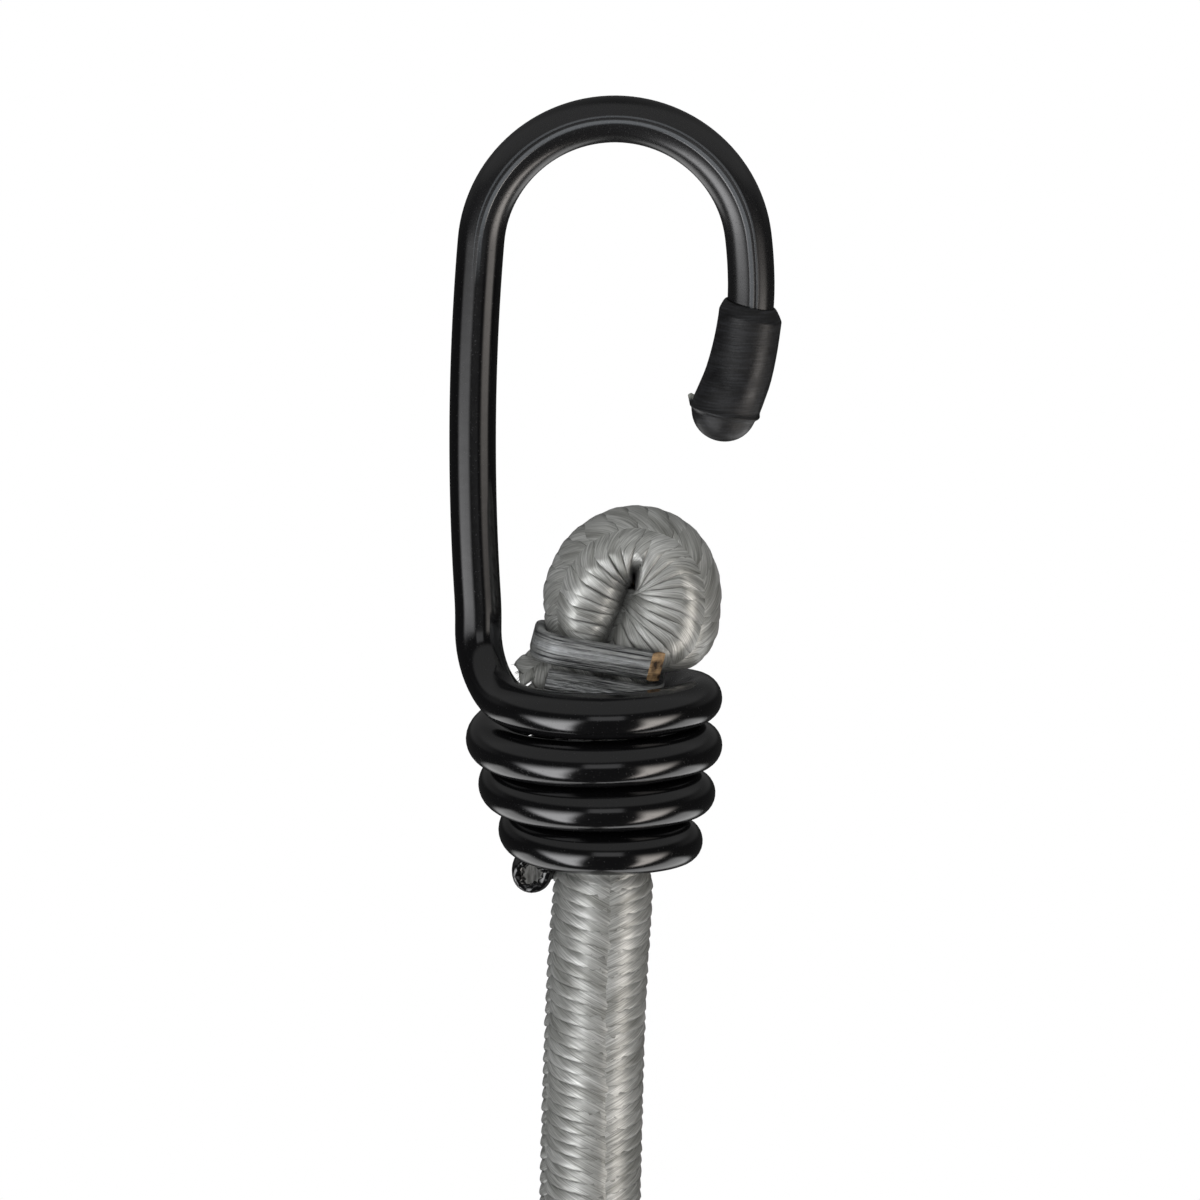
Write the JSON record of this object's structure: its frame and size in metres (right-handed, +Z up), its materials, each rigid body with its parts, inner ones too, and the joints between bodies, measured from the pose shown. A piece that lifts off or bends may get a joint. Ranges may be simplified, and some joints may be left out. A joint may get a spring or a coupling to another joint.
{
  "type": "bungee cord",
  "caption": "Elastic bungee cord: a braided jacket over rubber strands, its ends doubled, clipped and seated in the wound necks of coated wire hooks with soft tip caps.",
  "frame": {"origin": "inside of the upper hook's arch, on the axis of the cord", "axes": "+Z up along the cord towards the upper hook, +X towards that hook's open side, -Y towards the viewer"},
  "size_m": [0.033, 0.0252, 0.3998],
  "materials": {
    "steel_wire": "drawn steel wire, cut end bare",
    "coating": "smooth glossy black plastic skin",
    "tip_cap": "satin black soft vinyl",
    "clip": "dull zinc plating, pitted along the strip",
    "jacket": "grey braid of bright synthetic filaments",
    "rubber": "natural latex"
  },
  "bodies": {
    "upper_hook": {"upper_hook_wire": "steel_wire", "upper_hook_coating": "coating", "upper_tip_cap": "tip_cap"},
    "cord": {"upper_clip": "clip", "upper_cord_fold": "jacket", "cord_jacket": "jacket", "rubber_strand_1": "rubber", "rubber_strand_2": "rubber", "rubber_strand_3": "rubber", "rubber_strand_4": "rubber", "rubber_strand_5": "rubber", "rubber_strand_6": "rubber", "rubber_strand_7": "rubber"},
    "lower_end": {"lower_clip": "clip", "lower_cord_fold": "jacket"},
    "lower_hook": {"lower_hook_wire": "steel_wire", "lower_hook_coating": "coating", "lower_tip_cap": "tip_cap"}
  },
  "joints": [
    {"name": "upper_swivel", "type": "hinge", "parent": "upper_hook", "child": "cord", "pos_m": [0, 0, -0.066], "axis": [0, 0, 1], "range_deg": [-120, 120]},
    {"name": "cord_stretch", "type": "slide", "parent": "cord", "child": "lower_end", "axis": [0, 0, -1], "range_m": [0, 0.18], "stiffness_N_per_m": 600, "deforming": ["cord_jacket", "rubber_strand_1", "rubber_strand_2", "rubber_strand_3", "rubber_strand_4", "rubber_strand_5", "rubber_strand_6", "rubber_strand_7"]},
    {"name": "lower_swivel", "type": "hinge", "parent": "lower_end", "child": "lower_hook", "pos_m": [0, 0, -0.3248], "axis": [0, 0, 1], "range_deg": [-120, 120]}
  ]
}
